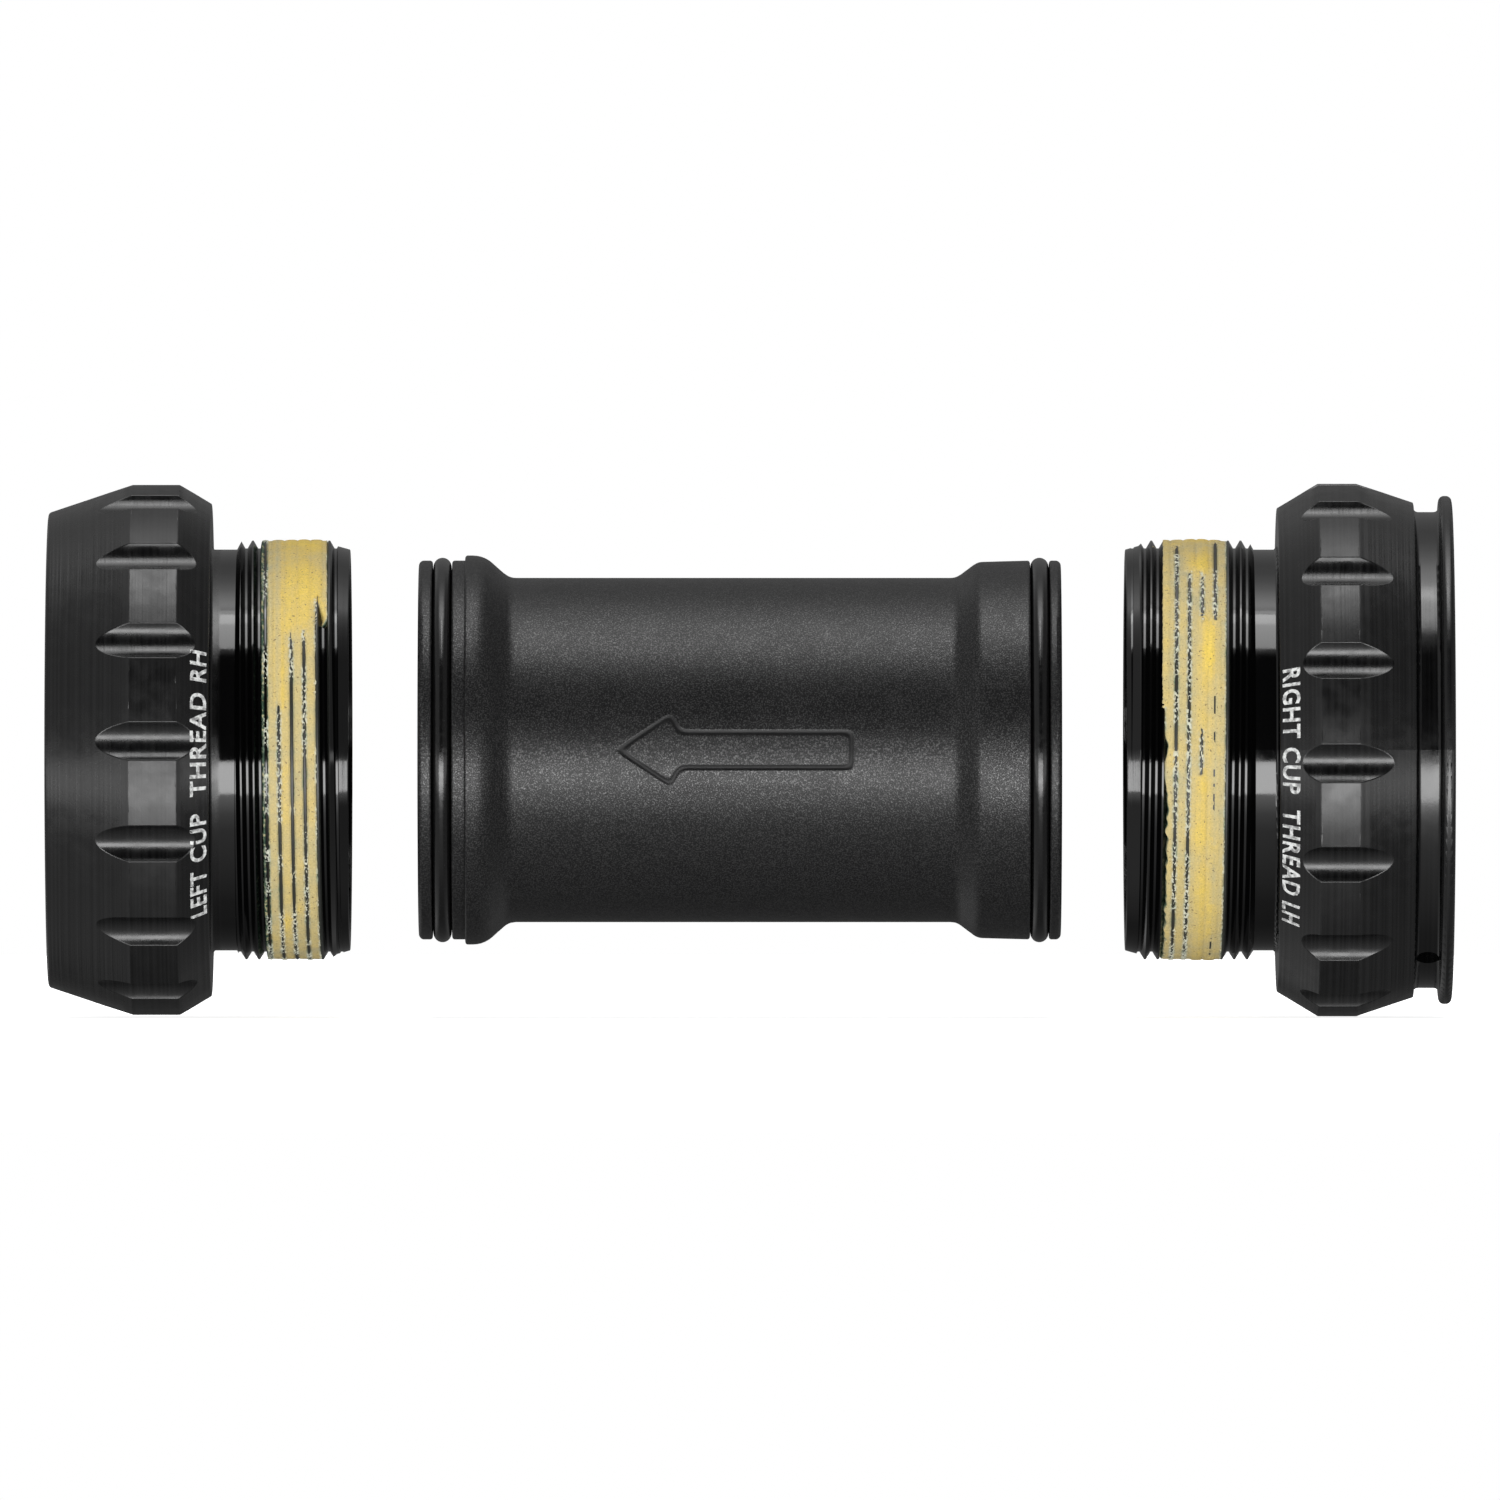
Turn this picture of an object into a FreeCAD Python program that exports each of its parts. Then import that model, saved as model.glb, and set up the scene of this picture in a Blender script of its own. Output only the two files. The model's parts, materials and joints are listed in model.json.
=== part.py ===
"""Threaded external-cup bottom bracket for a 68 mm shell, laid out ready to fit.

The crank axis is X. The drive side is +X, +Z is up and +Y points forward on the bicycle.
Two anodised cups carry a cartridge bearing each, and a moulded sleeve with two O-rings
closes the gap between them inside the frame's shell. At rest the three groups stand apart,
and each cup slides inboard along X until it covers its end of the sleeve.
Units are millimetres and degrees.
"""

import FreeCAD
import Part
import math
import os

from FreeCAD import Vector

# Shell and layout along X
SHELL_WIDTH = 68.0
LEFT_GAP = 5.7            # open space between the left cup and the sleeve at rest
RIGHT_GAP = 5.34          # open space between the right cup and the sleeve at rest

# Cup thread, 1.37 inch by 24 turns per inch, right-hand on the left cup
THREAD_CREST_R = 17.4
THREAD_PITCH = 25.4 / 24
THREAD_DEPTH = 0.65
THREAD_WALL = 0.75        # metal left between the thread's root and the cup's bore
THREAD_CREST_FLAT = THREAD_PITCH / 8
THREAD_HALF_ANGLE = 30.0
THREAD_CUTTER_PROUD = 0.08
LEFT_THREAD_SHIFT = 0.25  # of the left thread's turns along X, from the relief's edge
RELIEF_DROP = 0.1         # relief groove below the thread's root
RELIEF_FILLET = 0.3
RELIEF_EXIT_LENGTH = 0.4  # slope from the relief up to the first thread crest
LEAD_IN_LENGTH = 1.6      # shallow run-in at the cup's inboard end
LEAD_IN_SLOPE_LENGTH = 0.5
LEAD_IN_DROP = 0.45       # from the crest down to the lead-in land
LEAD_IN_TIP_DROP = 0.75
MOUTH_CHAMFER = 0.1

# Cartridge bearing, 25 x 37 x 6
BEARING_BORE_R = 12.5
BEARING_OUTER_R = 18.5
BEARING_WIDTH = 6.0
BALL_R = 1.5875
BALL_COUNT = 17
BALL_CLEARANCE = 0.05
RACE_GROOVE_R = BALL_R + 0.0725
LAND_DISTANCE = 1.15      # from the balls' pitch circle to the lands of either race
RACE_CHAMFER = 0.3
CAGE_RIM = 0.35           # cage left on either side of a pocket
CAGE_THICKNESS = 0.9
CAGE_POCKET_CLEARANCE = 0.06
SEAL_THICKNESS = 0.45
SEAL_RECESS = 0.15
SEAL_LIP_CLEARANCE = 0.1
SEAL_SEAT_DEPTH = 0.35    # how far the seal's rim reaches into the outer race
SEAL_LIP_WIDTH = 0.4      # of the thin lip at the inner race
SEAL_LIP_SLOPE = 0.2      # from the lip up to the seal's full thickness
SEAT_CLEARANCE = 0.01
SEAT_LIP = 2.5            # height of the lip that the bearing seats against

# Rings of both cups, measured outwards from their base radius
THREAD_TO_RING_BASE = 1.1
LEFT_CREST_HEIGHT = 3.53
RIGHT_CREST_HEIGHT = 3.62
LEFT_FACE_HEIGHT = 1.19
RIGHT_TAPER_HEIGHT = 2.05
FLANGE_HEIGHT = 2.6
GROOVE_HEIGHT = 1.27
RING_EDGE_FILLET = 0.35
SHOULDER_EDGE_FILLET = 0.12
SHOULDER_SLOPE = 0.60     # drop of the inboard bevel per unit length
FACE_CHAMFER = 0.3

# Lengths of both cups, measured inboard from the outer face
LEFT_RING_WIDTH = 13.55
LEFT_TAPER_END = 7.0
LEFT_CREST_END = 10.9
LEFT_THREAD_LENGTH = 11.5
LEFT_RELIEF_WIDTH = 2.1
RIGHT_RING_WIDTH = 14.5
RIGHT_TAPER_END = 7.9
RIGHT_CREST_END = 11.1
RIGHT_THREAD_LENGTH = 12.6
RIGHT_RELIEF_WIDTH = 1.95
FLANGE_WIDTH = 1.08
FLANGE_FILLET = 0.45
GROOVE_WIDTH = 2.1
GROOVE_FILLET = 0.4
CLIP_HOLE_R = 0.95
CLIP_HOLE_ANGLES = (-60.5, 119.5)

# Spanner notches
NOTCH_COUNT = 16
NOTCH_DEPTH = 0.93        # below the ring's crest
NOTCH_CUT_R = 1.84        # radius of the cutter that makes each notch
NOTCH_EDGE_FILLET = 0.12
NOTCH_EDGE_BAND = 0.2     # an edge this near the crest's radius is a notch's edge
CUTTER_MARGIN = 1.0       # how far a cutter runs past the metal
LEFT_NOTCH_START = 2.4    # from the outer face
RIGHT_NOTCH_MARGIN = 0.2  # from the clip groove
LEFT_NOTCH_TURN = 1.9     # degrees above the front for the notch nearest it
RIGHT_NOTCH_TURN = -2.9

# Bearing places, wave washer and dust seals
LEFT_BEARING_DEPTH = 2.1  # from the cup's outer face to the bearing
RIGHT_BEARING_DEPTH = 3.35
WASHER_SPACE = 1.3
WASHER_THICKNESS = 0.35
WASHER_WAVES = 3
POINTS_PER_WAVE = 8
WASHER_WIDTH = 1.75
WASHER_RIM_CLEARANCE = 0.25
WASHER_CLEARANCE = 0.03
DUST_SEAL_STEP = 2.1      # from the bearing's bore out to the seal's inner edge
LEFT_DUST_SEAL_DEPTH = 0.5
LEFT_DUST_SEAL_WIDTH = 1.4
RIGHT_DUST_SEAL_DEPTH = 0.3
RIGHT_DUST_SEAL_WIDTH = 1.0
DUST_SEAL_RIB = 0.35      # height of the two ribs
DUST_SEAL_RIB_PLACES = (0.12, 0.5)  # where each rib starts, as shares of the ring's width
DUST_SEAL_RIB_WIDTH = 0.9
DUST_SEAL_RIB_SLOPE = 0.25
DUST_SEAL_EDGE_R = 0.1    # rounding of the ribs
DUST_SEAL_RIM_BEVEL = (0.2, 0.3)    # along X, and across the ring

# Sleeve, measured from its left end unless it says otherwise
O_RING_SECTION_R = 0.75
O_RING_CLEARANCE = 0.01   # under each O-ring, in its groove
SLEEVE_CLEARANCE = 0.03   # between the O-rings and the cups' bores
LAND_CLEARANCE = 0.26     # between the sleeve's lands and the cups' bores
STOP_HEIGHT = 0.16        # of the bell above the left cup's bore
STOP_CLEARANCE = 0.05     # left between the left cup and the bell when closed
STOP_DISTANCE = 3.85      # to the shoulder that stops the left cup
RIGHT_OVERLAP = 5.6       # how far the sleeve reaches into the right cup when closed
TUBE_DROP = 1.7           # from the cups' bore radius to the tube's
SLEEVE_WALL = 1.1
SLEEVE_MOUTH_CHAMFER = 0.5
LEFT_FLANGE_WIDTH = 1.15
LEFT_GROOVE_WIDTH = 1.62
LEFT_BELL_END = 5.4
LEFT_NECK_START = 7.5
RIGHT_NECK_END = 8.68     # from the right end
RIGHT_BELL_START = 6.91   # from the right end
RIGHT_BELL_DROP = 0.12
RIGHT_GROOVE_WIDTH = 1.58
RIGHT_FLANGE_WIDTH = 0.98
SLEEVE_EDGE_FILLET = 0.22

# Arrow scored into the sleeve, pointing to the left cup
ARROW_LENGTH = 19.35
ARROW_SHIFT = 0.15        # of its middle from the middle of the tube
ARROW_HEAD_LENGTH = 4.4
ARROW_BARB_RAKE = 0.7     # how far the inner corner lies behind the barb
ARROW_HALF_HEAD = 2.85
ARROW_HALF_SHAFT = 1.46
ARROW_CORNER_R = 0.45
ARROW_LINE_WIDTH = 0.42
ARROW_LINE_DEPTH = 0.13

# Dried locking compound on the threads, measured inboard from the shoulder
COMPOUND_PROUD = 0.14     # above the thread's crest
COMPOUND_ROOT_GAP = 0.05  # keeps clear of the flat at the thread's root
COMPOUND_EDGE = 0.3
LEFT_COMPOUND_START = 4.4
LEFT_COMPOUND_WIDTH = 5.3
RIGHT_COMPOUND_START = 3.9
RIGHT_COMPOUND_WIDTH = 5.9

# Radii that follow from the sizes above
RING_BASE_R = max(BEARING_OUTER_R, THREAD_CREST_R + THREAD_TO_RING_BASE)
LEFT_CREST_R = RING_BASE_R + LEFT_CREST_HEIGHT
RIGHT_CREST_R = RING_BASE_R + RIGHT_CREST_HEIGHT
GROOVE_R = RING_BASE_R + GROOVE_HEIGHT
THREAD_ROOT_R = THREAD_CREST_R - THREAD_DEPTH
RELIEF_R = THREAD_ROOT_R - RELIEF_DROP
CUP_BORE_R = min(THREAD_ROOT_R - THREAD_WALL, BEARING_OUTER_R - SEAT_LIP)
BEARING_PITCH_R = (BEARING_BORE_R + BEARING_OUTER_R) / 2
INNER_LAND_R = BEARING_PITCH_R - LAND_DISTANCE
OUTER_LAND_R = BEARING_PITCH_R + LAND_DISTANCE
CAGE_POCKET_R = BALL_R + CAGE_POCKET_CLEARANCE
CAGE_WIDTH = 2 * (CAGE_POCKET_R + CAGE_RIM)
WASHER_OUTER_R = BEARING_OUTER_R - WASHER_RIM_CLEARANCE
WASHER_INNER_R = WASHER_OUTER_R - WASHER_WIDTH
DUST_SEAL_INNER_R = BEARING_BORE_R + DUST_SEAL_STEP
O_RING_OUTER_R = CUP_BORE_R - SLEEVE_CLEARANCE
LAND_R = CUP_BORE_R - LAND_CLEARANCE
BELL_R = CUP_BORE_R + STOP_HEIGHT
RIGHT_BELL_R = LAND_R - RIGHT_BELL_DROP
TUBE_R = CUP_BORE_R - TUBE_DROP
SLEEVE_BORE_R = TUBE_R - SLEEVE_WALL
COMPOUND_OUTER_R = THREAD_CREST_R + COMPOUND_PROUD
COMPOUND_INNER_R = THREAD_ROOT_R + COMPOUND_ROOT_GAP

# Lengths and places that follow from the sizes above
SLEEVE_OPEN_LENGTH = SHELL_WIDTH - LEFT_THREAD_LENGTH - RIGHT_THREAD_LENGTH
SLEEVE_LENGTH = SLEEVE_OPEN_LENGTH + STOP_DISTANCE - STOP_CLEARANCE + RIGHT_OVERLAP
LEFT_CUP_LENGTH = LEFT_RING_WIDTH + LEFT_THREAD_LENGTH
RIGHT_CUP_LENGTH = RIGHT_RING_WIDTH + RIGHT_THREAD_LENGTH
TOTAL_LENGTH = LEFT_CUP_LENGTH + LEFT_GAP + SLEEVE_LENGTH + RIGHT_GAP + RIGHT_CUP_LENGTH
LEFT_FACE_X = -TOTAL_LENGTH / 2
LEFT_SHOULDER_X = LEFT_FACE_X + LEFT_RING_WIDTH
SLEEVE_X = LEFT_FACE_X + LEFT_CUP_LENGTH + LEFT_GAP
RIGHT_FACE_X = TOTAL_LENGTH / 2
RIGHT_SHOULDER_X = RIGHT_FACE_X - RIGHT_RING_WIDTH
LEFT_TRAVEL = LEFT_GAP + STOP_DISTANCE - STOP_CLEARANCE
RIGHT_TRAVEL = RIGHT_GAP + RIGHT_OVERLAP
LEFT_SEAT_DEPTH = LEFT_BEARING_DEPTH + BEARING_WIDTH + WASHER_SPACE
RIGHT_SEAT_DEPTH = RIGHT_BEARING_DEPTH + BEARING_WIDTH
TUBE_MIDDLE = (LEFT_NECK_START + SLEEVE_LENGTH - RIGHT_NECK_END) / 2
ARROW_TIP = TUBE_MIDDLE + ARROW_SHIFT - ARROW_LENGTH / 2
THREAD_SLOPE = math.tan(math.radians(THREAD_HALF_ANGLE))
THREAD_ROOT_FLAT = THREAD_PITCH - THREAD_CREST_FLAT - 2 * THREAD_DEPTH * THREAD_SLOPE

ORIGIN = Vector(0, 0, 0)
X_AXIS = Vector(1, 0, 0)
Y_AXIS = Vector(0, 1, 0)
Z_AXIS = Vector(0, 0, 1)


def corner_points(before, corner, after, radius):
    """The start, middle and end of the arc that rounds a corner."""
    back = (before - corner).normalize()
    ahead = (after - corner).normalize()
    half = back.getAngle(ahead) / 2
    reach = radius / math.tan(half)
    centre = corner + (back + ahead).normalize() * (radius / math.sin(half))
    middle = centre + (corner - centre).normalize() * radius
    return corner + back * reach, middle, corner + ahead * reach


def outline(points):
    """A closed wire through (x, y) or (x, y, corner radius) points."""
    corners = [Vector(p[0], p[1], 0) for p in points]
    radii = [p[2] if len(p) > 2 else 0 for p in points]
    starts, ends, arcs = [], [], []
    for i, corner in enumerate(corners):
        if radii[i] > 0:
            first, middle, last = corner_points(
                corners[i - 1], corner, corners[(i + 1) % len(corners)], radii[i])
            arcs.append(Part.Arc(first, middle, last).toShape())
        else:
            first = last = corner
            arcs.append(None)
        starts.append(first)
        ends.append(last)
    edges = []
    for i in range(len(corners)):
        if arcs[i]:
            edges.append(arcs[i])
        following = starts[(i + 1) % len(corners)]
        if (following - ends[i]).Length > 1e-6:
            edges.append(Part.LineSegment(ends[i], following).toShape())
    return Part.Wire(edges)


def turned(points):
    """A solid of revolution about X from points given as (x, radius, corner radius)."""
    return Part.Face(outline(points)).revolve(ORIGIN, X_AXIS, 360)


def around(angle, radius, x=0.0):
    """A point at a radius from the X axis. Angle 0 is at the front (-Y), and 90 is at the top."""
    a = math.radians(angle)
    return Vector(x, -radius * math.cos(a), radius * math.sin(a))


def thread_groove(start, length, left_hand):
    """The helical V that a die removes, from x = start towards +X."""
    helix = Part.makeLongHelix(THREAD_PITCH, length, THREAD_CREST_R, 0, left_hand)
    half_root = THREAD_ROOT_FLAT / 2
    half_top = half_root + (THREAD_DEPTH + THREAD_CUTTER_PROUD) * THREAD_SLOPE
    top_r = THREAD_CREST_R + THREAD_CUTTER_PROUD
    section = [Vector(top_r, 0, -half_top), Vector(THREAD_ROOT_R, 0, -half_root)]
    section += [Vector(THREAD_ROOT_R, 0, half_root), Vector(top_r, 0, half_top)]
    wire = Part.makePolygon(section + section[:1])
    groove = Part.Wire(helix.Edges).makePipeShell([wire], True, True)
    groove.rotate(ORIGIN, Y_AXIS, 90)
    groove.translate(Vector(start, 0, 0))
    return groove


def cut_notches(ring, crest_r, first_x, last_x, turn):
    """Sixteen round-bottomed spanner notches between two stations of the ring."""
    centre_r = crest_r - NOTCH_DEPTH + NOTCH_CUT_R
    cutters = []
    for i in range(NOTCH_COUNT):
        base = around(turn + i * 360 / NOTCH_COUNT, centre_r, first_x)
        cutters.append(Part.makeCylinder(NOTCH_CUT_R, last_x - first_x, base, X_AXIS))
    return ring.cut(Part.makeCompound(cutters))


def soften_notches(ring, crest_r):
    """Rounds the long sharp edges that the notches leave."""
    edges = []
    for edge in ring.Edges:
        middle = edge.valueAt((edge.FirstParameter + edge.LastParameter) / 2)
        radius = math.hypot(middle.y, middle.z)
        straight = isinstance(edge.Curve, Part.Line)
        if straight and abs(radius - crest_r) < NOTCH_EDGE_BAND:
            edges.append(edge)
    return ring.makeFillet(NOTCH_EDGE_FILLET, edges)


def cup_inside(length, seat_depth):
    """The inside of a cup as outline points, from the mouth back to the bearing seat."""
    return [
        (length, CUP_BORE_R + MOUTH_CHAMFER),
        (length - MOUTH_CHAMFER, CUP_BORE_R),
        (seat_depth, CUP_BORE_R),
        (seat_depth, BEARING_OUTER_R),
        (FACE_CHAMFER, BEARING_OUTER_R),
        (0, BEARING_OUTER_R + FACE_CHAMFER),
    ]


def thread_blank(shoulder, relief_width, length):
    """The outside of the threaded spigot before threading, as outline points."""
    relief_end = shoulder + relief_width
    lead_start = length - LEAD_IN_LENGTH
    return [
        (shoulder, RELIEF_R, RELIEF_FILLET),
        (relief_end, RELIEF_R),
        (relief_end + RELIEF_EXIT_LENGTH, THREAD_CREST_R),
        (lead_start, THREAD_CREST_R),
        (lead_start + LEAD_IN_SLOPE_LENGTH, THREAD_CREST_R - LEAD_IN_DROP),
        (length, THREAD_CREST_R - LEAD_IN_TIP_DROP, MOUTH_CHAMFER),
    ]


def left_cup_blank():
    shoulder_r = LEFT_CREST_R - (LEFT_RING_WIDTH - LEFT_CREST_END) * SHOULDER_SLOPE
    points = [
        (0, RING_BASE_R + LEFT_FACE_HEIGHT, RING_EDGE_FILLET),
        (LEFT_TAPER_END, LEFT_CREST_R, RING_EDGE_FILLET),
        (LEFT_CREST_END, LEFT_CREST_R, RING_EDGE_FILLET),
        (LEFT_RING_WIDTH, shoulder_r, SHOULDER_EDGE_FILLET),
    ]
    points += thread_blank(LEFT_RING_WIDTH, LEFT_RELIEF_WIDTH, LEFT_CUP_LENGTH)
    points += cup_inside(LEFT_CUP_LENGTH, LEFT_SEAT_DEPTH)
    return turned(points)


def right_cup_blank():
    shoulder_r = RIGHT_CREST_R - (RIGHT_RING_WIDTH - RIGHT_CREST_END) * SHOULDER_SLOPE
    groove_end = FLANGE_WIDTH + GROOVE_WIDTH
    flange_r = RING_BASE_R + FLANGE_HEIGHT
    points = [
        (0, flange_r, FLANGE_FILLET),
        (FLANGE_WIDTH, flange_r, FLANGE_FILLET),
        (FLANGE_WIDTH, GROOVE_R, GROOVE_FILLET),
        (groove_end, GROOVE_R, GROOVE_FILLET),
        (groove_end, RING_BASE_R + RIGHT_TAPER_HEIGHT, SHOULDER_EDGE_FILLET),
        (RIGHT_TAPER_END, RIGHT_CREST_R, RING_EDGE_FILLET),
        (RIGHT_CREST_END, RIGHT_CREST_R, RING_EDGE_FILLET),
        (RIGHT_RING_WIDTH, shoulder_r, SHOULDER_EDGE_FILLET),
    ]
    points += thread_blank(RIGHT_RING_WIDTH, RIGHT_RELIEF_WIDTH, RIGHT_CUP_LENGTH)
    points += cup_inside(RIGHT_CUP_LENGTH, RIGHT_SEAT_DEPTH)
    return turned(points)


def place_left(shape):
    """From a left cup's own frame, where x runs inboard from its outer face."""
    shape.translate(Vector(LEFT_FACE_X, 0, 0))
    return shape


def place_right(shape):
    """From a right cup's own frame, where x runs inboard from its outer face."""
    shape.rotate(ORIGIN, Z_AXIS, 180)
    shape.translate(Vector(RIGHT_FACE_X, 0, 0))
    return shape


def make_left_cup():
    cup = left_cup_blank()
    cup = cut_notches(cup, LEFT_CREST_R, LEFT_NOTCH_START, LEFT_RING_WIDTH + CUTTER_MARGIN, LEFT_NOTCH_TURN)
    cup = soften_notches(cup, LEFT_CREST_R)
    run = LEFT_THREAD_LENGTH - LEFT_RELIEF_WIDTH + 2 * THREAD_PITCH
    start = LEFT_RING_WIDTH + LEFT_RELIEF_WIDTH - THREAD_PITCH + LEFT_THREAD_SHIFT
    groove = thread_groove(start, run, False)
    return place_left(cup.cut(groove))


def make_right_cup():
    cup = right_cup_blank()
    notch_start = FLANGE_WIDTH + GROOVE_WIDTH + RIGHT_NOTCH_MARGIN
    cup = cut_notches(cup, RIGHT_CREST_R, notch_start, RIGHT_RING_WIDTH + CUTTER_MARGIN, -RIGHT_NOTCH_TURN)
    cup = soften_notches(cup, RIGHT_CREST_R)
    hole_x = FLANGE_WIDTH + GROOVE_WIDTH / 2
    for angle in CLIP_HOLE_ANGLES:
        inward = around(180 - angle, 1) * -1
        hole = Part.makeCylinder(
            CLIP_HOLE_R, GROOVE_R - BEARING_OUTER_R + 2 * CUTTER_MARGIN,
            around(180 - angle, GROOVE_R + CUTTER_MARGIN, hole_x), inward)
        cup = cup.cut(hole)
    run = RIGHT_THREAD_LENGTH - RIGHT_RELIEF_WIDTH + 2 * THREAD_PITCH
    groove = thread_groove(RIGHT_RING_WIDTH + RIGHT_RELIEF_WIDTH - THREAD_PITCH, run, True)
    return place_right(cup.cut(groove))


def make_compound(cup, start, width):
    """Dried locking compound, which fills the thread valleys between two stations."""
    band = turned([
        (start, COMPOUND_INNER_R),
        (start, THREAD_CREST_R),
        (start + COMPOUND_EDGE, COMPOUND_OUTER_R),
        (start + width - COMPOUND_EDGE, COMPOUND_OUTER_R),
        (start + width, THREAD_CREST_R),
        (start + width, COMPOUND_INNER_R),
    ])
    return band.cut(cup)


def make_inner_race(start):
    middle = start + BEARING_WIDTH / 2
    floor_r = BEARING_PITCH_R - BALL_R - BALL_CLEARANCE
    race = turned([
        (start, BEARING_BORE_R + RACE_CHAMFER),
        (start, INNER_LAND_R),
        (start + BEARING_WIDTH, INNER_LAND_R),
        (start + BEARING_WIDTH, BEARING_BORE_R + RACE_CHAMFER),
        (start + BEARING_WIDTH - RACE_CHAMFER, BEARING_BORE_R),
        (start + RACE_CHAMFER, BEARING_BORE_R),
    ])
    track = Part.makeTorus(floor_r + RACE_GROOVE_R, RACE_GROOVE_R, Vector(middle, 0, 0), X_AXIS)
    return race.cut(track)


def make_outer_race(start):
    end = start + BEARING_WIDTH
    middle = start + BEARING_WIDTH / 2
    ceiling_r = BEARING_PITCH_R + BALL_R + BALL_CLEARANCE
    outer = BEARING_OUTER_R - SEAT_CLEARANCE
    seat = SEAL_RECESS + SEAL_THICKNESS
    seat_r = OUTER_LAND_R + SEAL_SEAT_DEPTH
    race = turned([
        (start, seat_r),
        (start, outer - RACE_CHAMFER),
        (start + RACE_CHAMFER, outer),
        (end - RACE_CHAMFER, outer),
        (end, outer - RACE_CHAMFER),
        (end, seat_r),
        (end - seat, seat_r),
        (end - seat, OUTER_LAND_R),
        (start + seat, OUTER_LAND_R),
        (start + seat, seat_r),
    ])
    track = Part.makeTorus(ceiling_r - RACE_GROOVE_R, RACE_GROOVE_R, Vector(middle, 0, 0), X_AXIS)
    return race.cut(track)


def make_bearing_seal(start, faces_out):
    """A rubber shield with a thinner lip at the inner race. Its face side is at start."""
    lip_r = INNER_LAND_R + SEAL_LIP_CLEARANCE
    rim_r = OUTER_LAND_R + SEAL_SEAT_DEPTH - SEAT_CLEARANCE
    direction = 1 if faces_out else -1
    face = start + direction * SEAL_RECESS
    back = face + direction * SEAL_THICKNESS
    step = face + direction * SEAL_THICKNESS / 2
    return turned([
        (step, lip_r),
        (back, lip_r),
        (back, rim_r),
        (face, rim_r),
        (face, lip_r + SEAL_LIP_WIDTH + SEAL_LIP_SLOPE),
        (step, lip_r + SEAL_LIP_WIDTH),
    ])


def ball_places(middle):
    return [around(i * 360 / BALL_COUNT, BEARING_PITCH_R, middle) for i in range(BALL_COUNT)]


def make_balls(start):
    places = ball_places(start + BEARING_WIDTH / 2)
    return Part.makeCompound([Part.makeSphere(BALL_R, place) for place in places])


def make_cage(start):
    middle = start + BEARING_WIDTH / 2
    inner = BEARING_PITCH_R - CAGE_THICKNESS / 2
    outer = BEARING_PITCH_R + CAGE_THICKNESS / 2
    cage = turned([
        (middle - CAGE_WIDTH / 2, inner),
        (middle - CAGE_WIDTH / 2, outer),
        (middle + CAGE_WIDTH / 2, outer),
        (middle + CAGE_WIDTH / 2, inner),
    ])
    for i in range(BALL_COUNT):
        outward = around(i * 360 / BALL_COUNT, 1)
        pocket = Part.makeCylinder(
            CAGE_POCKET_R, CAGE_THICKNESS * 3, outward * (inner - CAGE_THICKNESS), outward)
        pocket.translate(Vector(middle, 0, 0))
        cage = cage.cut(pocket)
    return cage


def make_dust_seal(depth, width):
    """A rubber ring pressed into the cup's mouth, with two ribs on its outer face."""
    rim_r = BEARING_OUTER_R - SEAT_CLEARANCE
    band = rim_r - DUST_SEAL_INNER_R
    face = depth + DUST_SEAL_RIB
    bevel_length, bevel_height = DUST_SEAL_RIM_BEVEL
    points = [(depth + width, DUST_SEAL_INNER_R), (face, DUST_SEAL_INNER_R)]
    for share in DUST_SEAL_RIB_PLACES:
        low = DUST_SEAL_INNER_R + band * share
        high = low + DUST_SEAL_RIB_WIDTH
        points += [
            (face, low),
            (depth, low + DUST_SEAL_RIB_SLOPE, DUST_SEAL_EDGE_R),
            (depth, high - DUST_SEAL_RIB_SLOPE, DUST_SEAL_EDGE_R),
            (face, high),
        ]
    points += [(face, rim_r - bevel_height), (face + bevel_length, rim_r), (depth + width, rim_r)]
    return turned(points)


def wave_ring(radius, middle, height):
    """A closed curve at one radius that waves along X."""
    steps = WASHER_WAVES * POINTS_PER_WAVE
    points = []
    for i in range(steps):
        angle = i * 360 / steps
        rise = height / 2 * math.cos(math.radians(angle * WASHER_WAVES))
        points.append(around(angle, radius, middle + rise))
    curve = Part.BSplineCurve()
    curve.interpolate(points, PeriodicFlag=True)
    return curve.toShape()


def make_wave_washer(start):
    """A spring washer that takes up the play behind the left bearing."""
    height = WASHER_SPACE - 2 * WASHER_CLEARANCE - WASHER_THICKNESS
    middle = start + WASHER_CLEARANCE + height / 2
    inner = wave_ring(WASHER_INNER_R, middle, height)
    outer = wave_ring(WASHER_OUTER_R, middle, height)
    return Part.makeRuledSurface(inner, outer).extrude(Vector(WASHER_THICKNESS, 0, 0))


def o_ring_centre_left():
    return LEFT_FLANGE_WIDTH + LEFT_GROOVE_WIDTH / 2


def o_ring_centre_right():
    return SLEEVE_LENGTH - RIGHT_FLANGE_WIDTH - RIGHT_GROOVE_WIDTH / 2


def make_o_ring(centre):
    """An O-ring at a station of the sleeve."""
    return Part.makeTorus(
        O_RING_OUTER_R - O_RING_SECTION_R, O_RING_SECTION_R,
        Vector(SLEEVE_X + centre, 0, 0), X_AXIS)


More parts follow.
